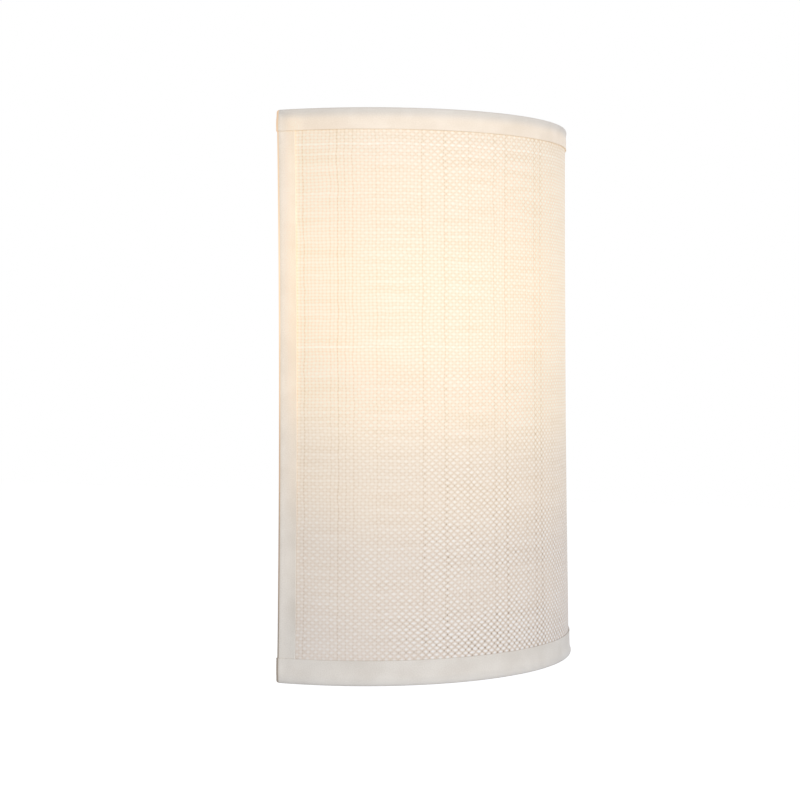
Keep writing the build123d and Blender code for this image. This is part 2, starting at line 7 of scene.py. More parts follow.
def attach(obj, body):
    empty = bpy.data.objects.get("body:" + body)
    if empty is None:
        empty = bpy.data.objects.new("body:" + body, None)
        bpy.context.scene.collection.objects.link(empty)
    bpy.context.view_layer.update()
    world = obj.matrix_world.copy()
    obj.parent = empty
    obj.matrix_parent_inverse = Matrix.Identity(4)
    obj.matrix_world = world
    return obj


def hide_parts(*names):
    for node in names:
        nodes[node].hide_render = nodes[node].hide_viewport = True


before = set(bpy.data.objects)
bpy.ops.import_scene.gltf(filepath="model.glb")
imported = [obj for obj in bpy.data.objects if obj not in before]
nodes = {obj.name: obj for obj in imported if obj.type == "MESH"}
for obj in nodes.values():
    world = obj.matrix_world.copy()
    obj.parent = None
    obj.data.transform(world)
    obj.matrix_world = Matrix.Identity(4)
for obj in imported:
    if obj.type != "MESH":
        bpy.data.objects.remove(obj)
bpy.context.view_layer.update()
scene = bpy.context.scene
mm = 0.001

# Camera, as the photograph was taken: a little above the shade's middle and well round to its
# left, so that the half cylinder's left edge and front show and the wall piece is hidden.
camera_turn = radians(65.42)
camera_distance = 1.058
camera_level = 0.0256
camera_yaw = 0.0162
camera_pitch = -0.0285
camera_roll = 0.0018
camera_lens = 80.64
shade_back = 3.15 * mm  # from the wall to the axis of the half round

forward = Vector((sin(camera_turn), cos(camera_turn), 0))
camera_data = bpy.data.cameras.new("camera")
camera_data.sensor_width = 36.0
camera_data.lens = camera_lens
camera_data.clip_start = 0.05
camera = bpy.data.objects.new("camera", camera_data)
scene.collection.objects.link(camera)
aim = Matrix.Rotation(-camera_yaw, 3, "Z") @ forward
across = aim.cross(Vector((0, 0, 1)))
sight = Matrix.Rotation(camera_pitch, 3, across) @ aim
upright = across.cross(sight)
turn = Matrix((across, upright, -sight)).transposed().to_4x4()
place = Matrix.Translation(Vector((0, -shade_back, camera_level)) - camera_distance * forward)
camera.matrix_world = place @ turn @ Matrix.Rotation(-camera_roll, 4, "Z")
scene.camera = camera
scene.view_settings.view_transform = "Standard"


def linear(hex_colour):
    """Linear red, green, blue and alpha of an sRGB hex value."""
    shares = [int(hex_colour[i : i + 2], 16) / 255 for i in (1, 3, 5)]
    return [c / 12.92 if c <= 0.04045 else ((c + 0.055) / 1.055) ** 2.4 for c in shares] + [1.0]


def add(tree, kind, inputs=None, stops=None, **settings):
    """Add a node with its settings; inputs are values, sockets or nodes, by name or by place."""
    node = tree.nodes.new(kind)
    for name, value in settings.items():
        setattr(node, name, value)
    if stops:
        ramp = node.color_ramp
        while len(ramp.elements) < len(stops):
            ramp.elements.new(0.5)
        for element, (position, colour) in zip(ramp.elements, stops):
            element.position = position
            element.color = colour
    live = [socket for socket in node.inputs if socket.enabled]
    for key, value in (inputs or {}).items():
        socket = live[key] if isinstance(key, int) else next(s for s in live if s.name == key)
        if isinstance(value, bpy.types.Node):
            value = next(output for output in value.outputs if output.enabled)
        if isinstance(value, bpy.types.NodeSocket):
            tree.links.new(value, socket)
        else:
            socket.default_value = value
    return node


# Plain soft studio: an even surround, a broad key ahead of the shade, a low fill behind it and cool
# daylight on its right side. The surround and the floor show white to the camera and in
# reflections, and nowhere brighter.
surround_level = 0.52
lamp_distance = 1.9
key_power = 17.8
fill_power = 2.5
window_power = 5.0
floor_level = -0.42
floor_reach = 4.0
floor_lift = 0.62  # the floor's own light, which makes it show white round the shadow


def seen(tree):
    """1 where a surface is seen, straight, mirrored or through glass, and 0 for the light it sends."""
    path = add(tree, "ShaderNodeLightPath")
    mirrored = {0: path.outputs["Is Glossy Ray"], 1: path.outputs["Is Transmission Ray"]}
    mirrored = add(tree, "ShaderNodeMath", mirrored, operation="MAXIMUM")
    straight = path.outputs["Is Camera Ray"]
    return add(tree, "ShaderNodeMath", {0: straight, 1: mirrored}, operation="MAXIMUM")


def soft_light(name, power, size, direction, tint="#ffffff"):
    """Square soft light that looks at the object from a direction."""
    data = bpy.data.lights.new(name, "AREA")
    data.energy = power
    data.color = linear(tint)[:3]
    data.size = size
    light = bpy.data.objects.new(name, data)
    scene.collection.objects.link(light)
    toward = Vector(direction).normalized()
    turned = toward.to_track_quat("Z", "Y").to_matrix().to_4x4()
    light.matrix_world = Matrix.Translation(toward * lamp_distance) @ turned


world = bpy.data.worlds.new("studio")
scene.world = world
world.use_nodes = True
tree = world.node_tree
tree.nodes.clear()
lighting = add(tree, "ShaderNodeBackground", {"Color": linear("#ffffff"), "Strength": surround_level})
white = add(tree, "ShaderNodeBackground", {"Color": linear("#ffffff"), "Strength": 1.0})
both = add(tree, "ShaderNodeMixShader", {0: seen(tree), 1: lighting, 2: white})
add(tree, "ShaderNodeOutputWorld", {"Surface": both})

soft_light("key", key_power, 1.6, (-0.70, -0.70, 0.25))
soft_light("fill", fill_power, 1.4, (0.9, 0.6, 0.5))
soft_light("window", window_power, 1.4, (0.95, -0.35, 0.05), "#c6daff")

floor_mesh = bpy.data.meshes.new("floor")
sheet = bmesh.new()
ground = Matrix.Translation((0, 0, floor_level))
bmesh.ops.create_grid(sheet, x_segments=2, y_segments=2, size=floor_reach, matrix=ground)
sheet.to_mesh(floor_mesh)
sheet.free()
floor = bpy.data.objects.new("floor", floor_mesh)
scene.collection.objects.link(floor)
paper = bpy.data.materials.new("matt_white_paper")
paper.use_nodes = True
tree = paper.node_tree
tree.nodes.clear()
lift = add(tree, "ShaderNodeMath", {0: seen(tree), 1: floor_lift}, operation="MULTIPLY")
matt = add(tree, "ShaderNodeBsdfDiffuse", {"Color": linear("#dedede")})
lifted = add(tree, "ShaderNodeEmission", {"Color": linear("#ffffff"), "Strength": lift})
whole = add(tree, "ShaderNodeAddShader", {0: matt, 1: lifted})
add(tree, "ShaderNodeOutputMaterial", {"Surface": whole})
floor_mesh.materials.append(paper)

# Shade cloth: coarse off-white linen-look fabric in plain weave, laminated to a stiff liner and
# stretched round a half-round wire frame. It is one sheet, bent round the front from wall to wall.
shade_height = 305.0
half_height = shade_height / 2
top_radius = 114.0
bottom_radius = 116.4
waist_draw = 0.8  # the stretched cloth draws in a little at mid height
edge_bow = 0.85  # and pulls the side wires forward
cloth_thickness = 0.6
ripple_height = 0.10
ripple_length = 35.0  # way round; up the shade a ripple is longer
ripple_rise = 60.0
laminate = 1.1  # cloth and liner together
wire_reach = 2.15  # from a wire's centre to the outside of the hem rolled over it
ring_level = half_height - wire_reach
wall_length = pi * ((top_radius + bottom_radius) / 2 - laminate / 2)  # its middle, wire to wire
half_way = wall_length / 2  # from a side wire round to the front
cloth_margin = 1.7
glow_strength = 0.45


def middle_radius(z):
    """Radius of the laminate's middle at a height in millimetres."""
    share = max(0.0, min(1.0, z / shade_height + 0.5))
    draw = waist_draw * max(0.0, 1 - (z / half_height) ** 2)
    return bottom_radius + (top_radius - bottom_radius) * share - draw - laminate / 2


def wrapped(s, z, h):
    """Metres in the frame of a place on the shade's wall: way round, height and lift off its middle."""
    radius = middle_radius(z) + h
    turned = min(max(s, 0.0), wall_length)
    past = turned - s if s < 0 else s - turned
    angle = pi * turned / wall_length
    x = -radius * cos(angle)
    bow = edge_bow * cos(angle) ** 2 * max(0.0, 1 - (z / half_height) ** 2)
    y = -shade_back / mm - radius * sin(angle) + past - bow
    return Vector((x, y, z)) * mm


def wrap(sheet, place_of):
    """Bend a flat sheet to the shade. Its UV keeps each corner's way round and height in metres."""
    uv_layer = sheet.loops.layers.uv.new("way_and_height")
    places = {vert: place_of(vert.co.x, vert.co.y) for vert in sheet.verts}
    for face in sheet.faces:
        for loop in face.loops:
            s, z, _ = places[loop.vert]
            loop[uv_layer].uv = (s * mm, z * mm)
    for vert, (s, z, lift) in places.items():
        vert.co = wrapped(s, z, lift)


def finished(name, sheet, materials):
    """Make an object of a bmesh at the origin, put it on the shade and give it its materials."""
    mesh = bpy.data.meshes.new(name)
    sheet.to_mesh(mesh)
    sheet.free()
    for material in materials:
        mesh.materials.append(material)
    for polygon in mesh.polygons:
        polygon.use_smooth = True
    piece = bpy.data.objects.new(name, mesh)
    scene.collection.objects.link(piece)
    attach(piece, "shade")
    return piece


def thicken(piece, depth):
    """Turn a bent sheet's faces outward and give it its thickness inward."""
    mesh = piece.data
    furthest = max(mesh.polygons, key=lambda face: abs(face.center.x) + abs(face.center.z) - face.center.y)
    if furthest.normal.dot(furthest.center) < 0:
        mesh.flip_normals()
    thickness = piece.modifiers.new("thickness", "SOLIDIFY")
    thickness.thickness = depth * mm
    thickness.offset = -1


def layer(name, columns, rows, lift, depth, material):
    """One layer of the laminate, a grid whose outer face lies where lift says."""
    sheet = bmesh.new()
    bmesh.ops.create_grid(sheet, x_segments=columns, y_segments=rows, size=0.5)

    def place_of(x, y):
        s = half_way + x * 2 * (half_way - cloth_margin)
        z = y * 2 * (ring_level - cloth_margin)
        return s, z, lift(s, z)

    wrap(sheet, place_of)
    bmesh.ops.recalc_face_normals(sheet, faces=sheet.faces)
    piece = finished(name, sheet, [material])
    thicken(piece, depth)
    return piece


def surface(name):
    """A new material and its empty node tree."""
    material = bpy.data.materials.new(name)
    material.use_nodes = True
    material.node_tree.nodes.clear()
    return material, material.node_tree


def shade_with(tree, inputs):
    """Close a material's tree with its shader."""
    shader = add(tree, "ShaderNodeBsdfPrincipled", inputs)
    add(tree, "ShaderNodeOutputMaterial", {"Surface": shader})


def cells(size):
    """Scale of a texture whose cells are this many millimetres across."""
    return 1 / (size * mm)


def off_front(tree, flat):
    """How far round from the shade's front a place is, to either side."""
    off = add(tree, "ShaderNodeMath", {0: flat.outputs[0], 1: half_way * mm}, operation="SUBTRACT")
    return add(tree, "ShaderNodeMath", {0: off}, operation="ABSOLUTE")


def glow(tree, flat, off):
    """Share of the lamp's light behind a place on the shade's wall, from its height and way round.

    The lamp's lower half is opaque, so the light fades below the middle, and near the side wires
    it fades a little higher up. The white pan throws some light back to the sides."""
    higher = {"Value": off, "From Min": 130 * mm, "From Max": 180 * mm, "To Max": 12 * mm}
    higher = add(tree, "ShaderNodeMapRange", higher, interpolation_type="SMOOTHSTEP")
    level = add(tree, "ShaderNodeMath", {0: flat.outputs[1], 1: higher}, operation="SUBTRACT")
    share = {"Value": level, "From Min": -half_height * mm, "From Max": half_height * mm}
    share = add(tree, "ShaderNodeMapRange", share)
    fade = add(tree, "ShaderNodeValToRGB", {0: share}, stops=[
        (0.02, linear("#292929")), (0.20, linear("#747474")), (0.35, linear("#b1b1b1")),
        (0.50, linear("#e7e7e7")), (0.60, linear("#fbfbfb")), (0.70, linear("#ffffff")),
        (0.85, linear("#eeeeee")), (1.0, linear("#d1d1d1"))])
    fade.color_ramp.interpolation = "EASE"
    sideways = {"Value": off, "From Max": 165 * mm, "To Min": 0.76, "To Max": 0.815}
    sideways = add(tree, "ShaderNodeMapRange", sideways)
    return add(tree, "ShaderNodeMath", {0: fade, 1: sideways}, operation="MULTIPLY")


# Linen-look polyester, plain weave: pale dashes where a weft thread lies on top and dark pinholes
# where the warp binds it down, in a checker; here and there a thread is thick or stands apart.
warp_pitch = 2.07  # upright threads
weft_pitch = 1.72  # threads round the shade
stray_length = 16.7  # neighbouring threads stray together
most_sway = 0.65  # share of its pitch that an upright thread strays
most_dip = 0.45  # and one round the shade
blotch_size = 4.17
region_size = 38.5
crest_mean = 0.635  # mean of a thread's crest, as a sine's absolute value has
rib_height = 0.26

linen, tree = surface("linen_look_polyester_plain_weave")
uv = add(tree, "ShaderNodeUVMap", uv_map="way_and_height")
flat = add(tree, "ShaderNodeSeparateXYZ", {0: uv})
off = off_front(tree, flat)
light = glow(tree, flat, off)

# Column and row count the threads, with their straying, and each thread has a random value.
stray = {"Vector": uv, "Scale": cells(stray_length), "Detail": 4.0, "Roughness": 0.68}
stray = add(tree, "ShaderNodeTexNoise", stray, noise_dimensions="2D")
stray = add(tree, "ShaderNodeSeparateColor", {0: stray.outputs["Color"]})
sway = {0: stray.outputs[0], 1: 2 * most_sway, 2: -most_sway}
sway = add(tree, "ShaderNodeMath", sway, operation="MULTIPLY_ADD")
dip = {0: stray.outputs[1], 1: 2 * most_dip, 2: -most_dip}
dip = add(tree, "ShaderNodeMath", dip, operation="MULTIPLY_ADD")
column = {0: flat.outputs[0], 1: cells(warp_pitch), 2: sway}
column = add(tree, "ShaderNodeMath", column, operation="MULTIPLY_ADD")
row = {0: flat.outputs[1], 1: cells(weft_pitch), 2: dip}
row = add(tree, "ShaderNodeMath", row, operation="MULTIPLY_ADD")
column_number = add(tree, "ShaderNodeMath", {0: column}, operation="FLOOR")
row_number = add(tree, "ShaderNodeMath", {0: row}, operation="FLOOR")
column_own = add(tree, "ShaderNodeTexWhiteNoise", {"W": column_number}, noise_dimensions="1D")
row_own = add(tree, "ShaderNodeTexWhiteNoise", {"W": row_number}, noise_dimensions="1D")

# A crest is 1 along a thread's middle and 0 between threads. on_top is 1 where a weft thread lies
# on the warp, and -1 where it passes under.
column_turn = add(tree, "ShaderNodeMath", {0: column, 1: pi}, operation="MULTIPLY")
column_wave = add(tree, "ShaderNodeMath", {0: column_turn}, operation="SINE")
warp_crest = add(tree, "ShaderNodeMath", {0: column_wave}, operation="ABSOLUTE")
row_turn = add(tree, "ShaderNodeMath", {0: row, 1: pi}, operation="MULTIPLY")
row_wave = add(tree, "ShaderNodeMath", {0: row_turn}, operation="SINE")
weft_crest = add(tree, "ShaderNodeMath", {0: row_wave}, operation="ABSOLUTE")
weft_body = add(tree, "ShaderNodeMath", {0: weft_crest, 1: 1.4}, operation="POWER")
row_sign = add(tree, "ShaderNodeMath", {0: row_wave}, operation="SIGN")
on_top = add(tree, "ShaderNodeMath", {0: column_wave, 1: row_sign}, operation="MULTIPLY")

# The weave is bolder in some blotches and regions, and the lamp behind the cloth evens it out.
blotch = {"Vector": uv, "Scale": cells(blotch_size), "Detail": 3.0}
blotch = add(tree, "ShaderNodeTexNoise", blotch, noise_dimensions="2D")
region = {"Vector": uv, "Scale": cells(region_size), "Detail": 2.0}
region = add(tree, "ShaderNodeTexNoise", region, noise_dimensions="2D")
region = {"Value": region, "From Min": 0.3, "From Max": 0.7, "To Min": 0.7, "To Max": 1.3}
region = add(tree, "ShaderNodeMapRange", region)
lit = add(tree, "ShaderNodeMath", {0: light, 1: 0.6}, operation="POWER")
evened = add(tree, "ShaderNodeMath", {0: lit, 1: -0.95, 2: 1.0}, operation="MULTIPLY_ADD")

# A weft thread on top is a pale dash, wider than the gap to the next one; its paleness is partly the weave
# and partly a painted highlight where the thread stands up.
dash = {"Value": on_top, "From Min": -0.5, "From Max": 0.4}
dash = add(tree, "ShaderNodeMapRange", dash, interpolation_type="SMOOTHSTEP")
dash = add(tree, "ShaderNodeMath", {0: dash, 1: weft_body}, operation="MULTIPLY")
bold = add(tree, "ShaderNodeMath", {0: blotch, 1: 1.6, 2: 0.25}, operation="MULTIPLY_ADD")
bold = add(tree, "ShaderNodeMath", {0: bold, 1: region}, operation="MULTIPLY")
bold = add(tree, "ShaderNodeMath", {0: bold, 1: evened}, operation="MULTIPLY")
mark = add(tree, "ShaderNodeMath", {0: dash, 1: bold}, operation="MULTIPLY")

# Where the warp binds it down there is a small dark hole, deeper beside a thread that stands apart; its
# darkness is painted shade in the gap, less where the lamp shines through.
hole = add(tree, "ShaderNodeMapRange", {"Value": on_top, "From Min": -0.55, "From Max": -1.0})
hole = add(tree, "ShaderNodeMath", {0: hole, 1: weft_body}, operation="MULTIPLY")
deep = add(tree, "ShaderNodeMath", {0: blotch, 1: 2.1, 2: 0.15}, operation="MULTIPLY_ADD")
deep = add(tree, "ShaderNodeMath", {0: deep, 1: region}, operation="MULTIPLY")
deep = add(tree, "ShaderNodeMath", {0: deep, 1: evened}, operation="MULTIPLY")
apart = add(tree, "ShaderNodeMath", {0: column_own, 1: 6.0}, operation="POWER")
row_apart = add(tree, "ShaderNodeMath", {0: row_own, 1: 8.0}, operation="POWER")
apart = add(tree, "ShaderNodeMath", {0: row_apart, 1: 0.7, 2: apart}, operation="MULTIPLY_ADD")
less = add(tree, "ShaderNodeMath", {0: light, 1: -0.7, 2: 1.0}, operation="MULTIPLY_ADD")
deep = add(tree, "ShaderNodeMath", {0: apart, 1: less, 2: deep}, operation="MULTIPLY_ADD")
hole = add(tree, "ShaderNodeMath", {0: hole, 1: deep}, operation="MULTIPLY")
mark = add(tree, "ShaderNodeMath", {0: mark, 1: hole}, operation="SUBTRACT")

# Toward the side wires the weave's painted shade and highlight fade, and so does its relief.
relief_shade_share = {"Value": off, "From Min": 85 * mm, "From Max": 148 * mm, "To Min": 0.88, "To Max": 0.28}
relief_shade_share = add(tree, "ShaderNodeMapRange", relief_shade_share)
faintest_relief_shade = add(tree, "ShaderNodeMath", {0: evened, 1: 0.2}, operation="MULTIPLY")
mark = add(tree, "ShaderNodeMix", {0: relief_shade_share, "A": faintest_relief_shade, "B": mark}, data_type="FLOAT")

# Weft threads thicken and thin along their length, and a few are thick and pale throughout.
slub = {0: add(tree, "ShaderNodeMath", {0: column, 1: 0.05}, operation="MULTIPLY"), 1: row_number}
slub = {"Vector": add(tree, "ShaderNodeCombineXYZ", slub), "Scale": 1.0, "Detail": 1.0}
slub = add(tree, "ShaderNodeTexNoise", slub, noise_dimensions="2D")
slub = add(tree, "ShaderNodeMath", {0: slub, 1: 0.38, 2: 0.03}, operation="MULTIPLY_ADD")
thick = {"Value": row_own, "From Min": 0.92, "From Max": 0.98, "To Max": 0.3}
thick = add(tree, "ShaderNodeMapRange", thick)
slub = add(tree, "ShaderNodeMath", {0: thick, 1: weft_body, 2: slub}, operation="MULTIPLY_ADD")
mark = add(tree, "ShaderNodeMath", {0: slub, 1: mark}, operation="ADD")

# Both ways the threads stand up as ribs, which leave the cloth's mean tone as it is. In colour they are
# painted paler along their crests and darker between, a painted highlight and shade.
rib = {0: weft_crest, 1: rib_height, 2: -rib_height * crest_mean}
rib = add(tree, "ShaderNodeMath", rib, operation="MULTIPLY_ADD")
mark = add(tree, "ShaderNodeMath", {0: rib, 1: mark}, operation="ADD")
rib = add(tree, "ShaderNodeMath", {0: warp_crest, 1: crest_mean}, operation="SUBTRACT")
raised = add(tree, "ShaderNodeMath", {0: relief_shade_share, 1: evened}, operation="MULTIPLY")
raised = add(tree, "ShaderNodeMath", {0: raised, 1: 0.4, 2: 0.24}, operation="MULTIPLY_ADD")
mark = add(tree, "ShaderNodeMath", {0: rib, 1: raised, 2: mark}, operation="MULTIPLY_ADD")

# Some upright threads stand apart, with a dark line of painted shade in the gap between them.
gap_number = add(tree, "ShaderNodeMath", {0: column}, operation="ROUND")
gap_own = add(tree, "ShaderNodeTexWhiteNoise", {"W": gap_number}, noise_dimensions="1D")
wide = {"Value": gap_own, "From Min": 0.70, "From Max": 0.95, "To Max": -0.22}
wide = add(tree, "ShaderNodeMapRange", wide)
gap = add(tree, "ShaderNodeMapRange", {"Value": warp_crest, "From Min": 0.8, "From Max": 0.2})
mark = add(tree, "ShaderNodeMath", {0: gap, 1: wide, 2: mark}, operation="MULTIPLY_ADD")

# Holes are browner than threads, and the lamp shines through them yellower.
tone = add(tree, "ShaderNodeMapRange", {"Value": mark, "From Min": -0.8, "From Max": 1.5})
colour = add(tree, "ShaderNodeValToRGB", {0: tone}, stops=[
    (0.0, linear("#a29386")), (0.22, linear("#c9bbaf")), (0.42, linear("#ddd1c7")),
    (0.60, linear("#e5ddd7")), (0.90, linear("#f2f0f0"))])
strength = add(tree, "ShaderNodeMath", {0: light, 1: glow_strength}, operation="MULTIPLY")
threads = {0: light, "A": linear("#ffe39e"), "B": linear("#ffe4b5")}
threads = add(tree, "ShaderNodeMix", threads, data_type="RGBA")
holes = {0: light, "A": linear("#ffcc78"), "B": linear("#edd97c")}
holes = add(tree, "ShaderNodeMix", holes, data_type="RGBA")
in_hole = add(tree, "ShaderNodeMapRange", {"Value": tone, "From Min": 0.5, "From Max": 0.3})
warmth = add(tree, "ShaderNodeMix", {0: in_hole, "A": threads, "B": holes}, data_type="RGBA")
relief = add(tree, "ShaderNodeBump", {"Height": mark, "Strength": 0.3, "Distance": 0.25 * mm})
shade_with(tree, {
    "Base Color": colour, "Normal": relief, "Roughness": 0.85, "Specular IOR Level": 0.3,
    "Sheen Weight": 0.15, "Sheen Roughness": 0.5, "Emission Color": warmth, "Emission Strength": strength})


def rippled(s, z):
    """Lift of the cloth's face off the laminate's middle: it lies a little unevenly on the liner."""
    return laminate / 2 + ripple_height * noise.noise(Vector((s / ripple_length, z / ripple_rise, 1.7)))


cloth = layer("cloth", 240, 64, rippled, cloth_thickness - ripple_height, linen)
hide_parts("shade_fabric")

# Liner: thin stiff plastic film that the cloth is stuck to; matt white inside, where the lamp
# shines on it, brightest ahead of the lamp's dome.
liner_thickness = 0.5
layer_gap = 0.05

# White styrene film, rolled matt: even, faintly grained, glowing where the lamp is near.
liner_film, tree = surface("styrene_film_matt_white")
uv = add(tree, "ShaderNodeUVMap", uv_map="way_and_height")
flat = add(tree, "ShaderNodeSeparateXYZ", {0: uv})
light = glow(tree, flat, off_front(tree, flat))
grain = {"Vector": uv, "Scale": cells(1.43), "Detail": 2.0}
grain = add(tree, "ShaderNodeTexNoise", grain, noise_dimensions="2D")
colour = add(tree, "ShaderNodeValToRGB", {0: grain}, stops=[
    (0.4, linear("#e9e4da")), (0.6, linear("#efebe3"))])
strength = add(tree, "ShaderNodeMath", {0: light, 1: 0.42}, operation="MULTIPLY")
relief = add(tree, "ShaderNodeBump", {"Height": grain, "Strength": 0.2, "Distance": 0.05 * mm})
shade_with(tree, {
    "Base Color": colour, "Normal": relief, "Roughness": 0.6,
    "Emission Color": linear("#ffe4bc"), "Emission Strength": strength})

liner_lift = laminate / 2 - cloth_thickness - layer_gap
liner_depth = liner_thickness - layer_gap
liner = layer("liner", 180, 24, lambda s, z: liner_lift, liner_depth, liner_film)
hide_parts("shade_liner")

# Hems: plain cotton tape in the cloth's shade, folded over each wire of the frame with a long
# leaf outside and a short one inside; the top and bottom hems lie over the side hems' ends.
top_hem = 11.5
bottom_hem = 13.5
side_hem = 10.5
inner_hem = 8.0
tape_thickness = 0.5
leaf_lift = laminate / 2 + 0.6
roll_reach = 5.0  # from the roll to where the leaf lies flat
squareness = 3.0  # of the folded edges: 2 would be round
edge_height = 0.15  # the tape's cut edge is turned under, so it is thicker there
edge_width = 0.9
overlap_lift = 0.45  # of the top and bottom hems where they lie over the side hems
overlap_from = side_hem - 2.5
overlap_slope = 3.0
top_inset = 0.8
bottom_inset = 0.3
tuck = 7.2  # the side hems' ends lie under both leaves of the top and bottom hems


def hem_material(name, light_share, fold_light):
    """Cotton tape: a fine matt weave, a little uneven, dimly lit from behind but not over its wire."""
    material, tree = surface(name)
    uv = add(tree, "ShaderNodeUVMap", uv_map="way_and_height")
    flat = add(tree, "ShaderNodeSeparateXYZ", {0: uv})
    off = off_front(tree, flat)
    up = add(tree, "ShaderNodeMath", {0: flat.outputs[1]}, operation="ABSOLUTE")
    lamp = glow(tree, flat, off)
    uneven = {"Vector": uv, "Scale": cells(16.7), "Detail": 2.0}
    uneven = add(tree, "ShaderNodeTexNoise", uneven, noise_dimensions="2D")
    thread = {"Vector": uv, "Scale": cells(0.667), "Detail": 1.0}
    thread = add(tree, "ShaderNodeTexNoise", thread, noise_dimensions="2D")
    tone = add(tree, "ShaderNodeMath", {0: thread, 1: 0.6, 2: uneven}, operation="MULTIPLY_ADD")
    colour = add(tree, "ShaderNodeValToRGB", {0: tone}, stops=[
        (0.55, linear("#dad4cd")), (1.05, linear("#e4dfd9"))])
    # Over a ring the tape's rolled edge is painted greyer, a painted shade on the rounded edge.
    roll = {
        "Value": up, "From Min": (ring_level - 3) * mm, "From Max": (ring_level + 1.5) * mm,
        "To Max": 0.5}
    roll = add(tree, "ShaderNodeMapRange", roll)
    colour = add(tree, "ShaderNodeMix", {0: roll, "A": colour, "B": linear("#d0cecc")}, data_type="RGBA")
    # Over a side wire, next to the wall, the tape is painted darker, a painted shade, and the lamp shines
    # through behind the wire.
    edge_shade_and_glow = {"Value": off, "From Min": (half_way + 0.5) * mm, "From Max": (half_way + 0.95) * mm}
    edge_shade_and_glow = add(tree, "ShaderNodeMapRange", edge_shade_and_glow)
    colour = add(tree, "ShaderNodeMix", {0: edge_shade_and_glow, "A": colour, "B": linear("#aea296")}, data_type="RGBA")
    # A wire in the hem holds the light back, by degrees.
    clear_of_ring = {
        "Value": up, "From Min": (ring_level + 1) * mm, "From Max": (ring_level - 5) * mm,
        "To Min": 0.25}
    clear_of_ring = add(tree, "ShaderNodeMapRange", clear_of_ring, interpolation_type="SMOOTHSTEP")
    clear_of_side = {
        "Value": off, "From Min": (half_way + 1) * mm, "From Max": (half_way - 7) * mm,
        "To Min": 0.5}
    clear_of_side = add(tree, "ShaderNodeMapRange", clear_of_side, interpolation_type="SMOOTHSTEP")
    clear = add(tree, "ShaderNodeMath", {0: clear_of_ring, 1: clear_of_side}, operation="MULTIPLY")
    clear = add(tree, "ShaderNodeMix", {0: edge_shade_and_glow, "A": clear, "B": fold_light}, data_type="FLOAT")
    side = {
        "Value": off, "From Min": (half_way - 14) * mm, "From Max": (half_way - 9) * mm,
        "To Min": 1.0, "To Max": 1.2}
    side = add(tree, "ShaderNodeMapRange", side)
    clear = add(tree, "ShaderNodeMath", {0: clear, 1: side}, operation="MULTIPLY")
    light = add(tree, "ShaderNodeMath", {0: lamp, 1: clear}, operation="MULTIPLY")
    strength = {0: light, 1: light_share * glow_strength}
    strength = add(tree, "ShaderNodeMath", strength, operation="MULTIPLY")
    warmth = {0: lamp, "A": linear("#ffac58"), "B": linear("#ffe5be")}
    warmth = add(tree, "ShaderNodeMix", warmth, data_type="RGBA")
    warmth = add(tree, "ShaderNodeMix", {0: edge_shade_and_glow, "A": linear("#ffd189"), "B": warmth}, data_type="RGBA")
    relief = add(tree, "ShaderNodeBump", {"Height": tone, "Strength": 0.15, "Distance": 0.1 * mm})
    shade_with(tree, {
        "Base Color": colour, "Normal": relief, "Roughness": 0.8, "Specular IOR Level": 0.3,
        "Sheen Weight": 0.1, "Emission Color": warmth, "Emission Strength": strength})
    return material


tape = hem_material("cotton_tape_outside", 0.92, 1.85)
tape_inside = hem_material("cotton_tape_lamp_side", 1.05, 0.6)


def eased(share):
    """A share held between 0 and 1, with soft ends."""
    share = min(1.0, max(0.0, share))
    return share * share * (3 - 2 * share)


def cut(sheet, axis, at, clear=False):
    """Slice a plan across an axis; clear takes away what lies past the slice."""
    normal = [0, 0, 0]
    normal[axis] = 1
    spot = [0, 0, 0]
    spot[axis] = at
    geometry = sheet.verts[:] + sheet.edges[:] + sheet.faces[:]
    bmesh.ops.bisect_plane(
        sheet, geom=geometry, dist=0.001, plane_co=spot, plane_no=normal, clear_outer=clear)


def hem_plan(width, steps, rolled_ends):
    """Flat plan of a hem: x along the wire, y from it to the leaf, sliced finely where it rolls."""
    depth = 40.0  # more than any leaf, which cuts it to its own width
    plan = bmesh.new()
    bmesh.ops.create_grid(plan, x_segments=1, y_segments=1, size=0.5)
    bmesh.ops.scale(plan, vec=(width, depth, 1), verts=plan.verts)
    bmesh.ops.translate(plan, vec=(0, depth / 2 - wire_reach, 0), verts=plan.verts)
    slices = [wire_reach * (1 - cos(radians(a))) for a in range(15, 91, 15)]
    slices += [wire_reach + roll_reach * part for part in (0.2, 0.4, 0.7, 1.0)]
    for away in slices:
        cut(plan, 1, away - wire_reach)
        if rolled_ends:
            cut(plan, 0, width / 2 - away)
            cut(plan, 0, away - width / 2)
    margin = slices[-1] if rolled_ends else 0
    for step in range(1, steps):
        cut(plan, 0, (width - 2 * margin) * (step / steps - 0.5))
    return plan


def rounded(x, y, half_width):
    """Place in a plan after its corners are rounded, and how far it then is from the rolled edge."""
    across = half_width - abs(x)
    down = y + wire_reach
    away = min(across, down)
    if max(across, down) >= wire_reach or away >= wire_reach - 0.001:
        return x, y, away
    share = (wire_reach - max(across, down)) / (wire_reach - away)
    angle = pi / 4 * share if across < down else pi / 2 - pi / 4 * share
    reach = (wire_reach - away) / (cos(angle) ** squareness + sin(angle) ** squareness) ** (1 / squareness)
    side = 1 if x > 0 else -1
    return side * (half_width - wire_reach + reach * cos(angle)), -reach * sin(angle), away


def drawn_in(z):
    """How far a ring wire and the roll of its hem sit inside the laminate at a height."""
    return (top_inset if z > 0 else bottom_inset) * (1 - eased((ring_level - abs(z)) / roll_reach))


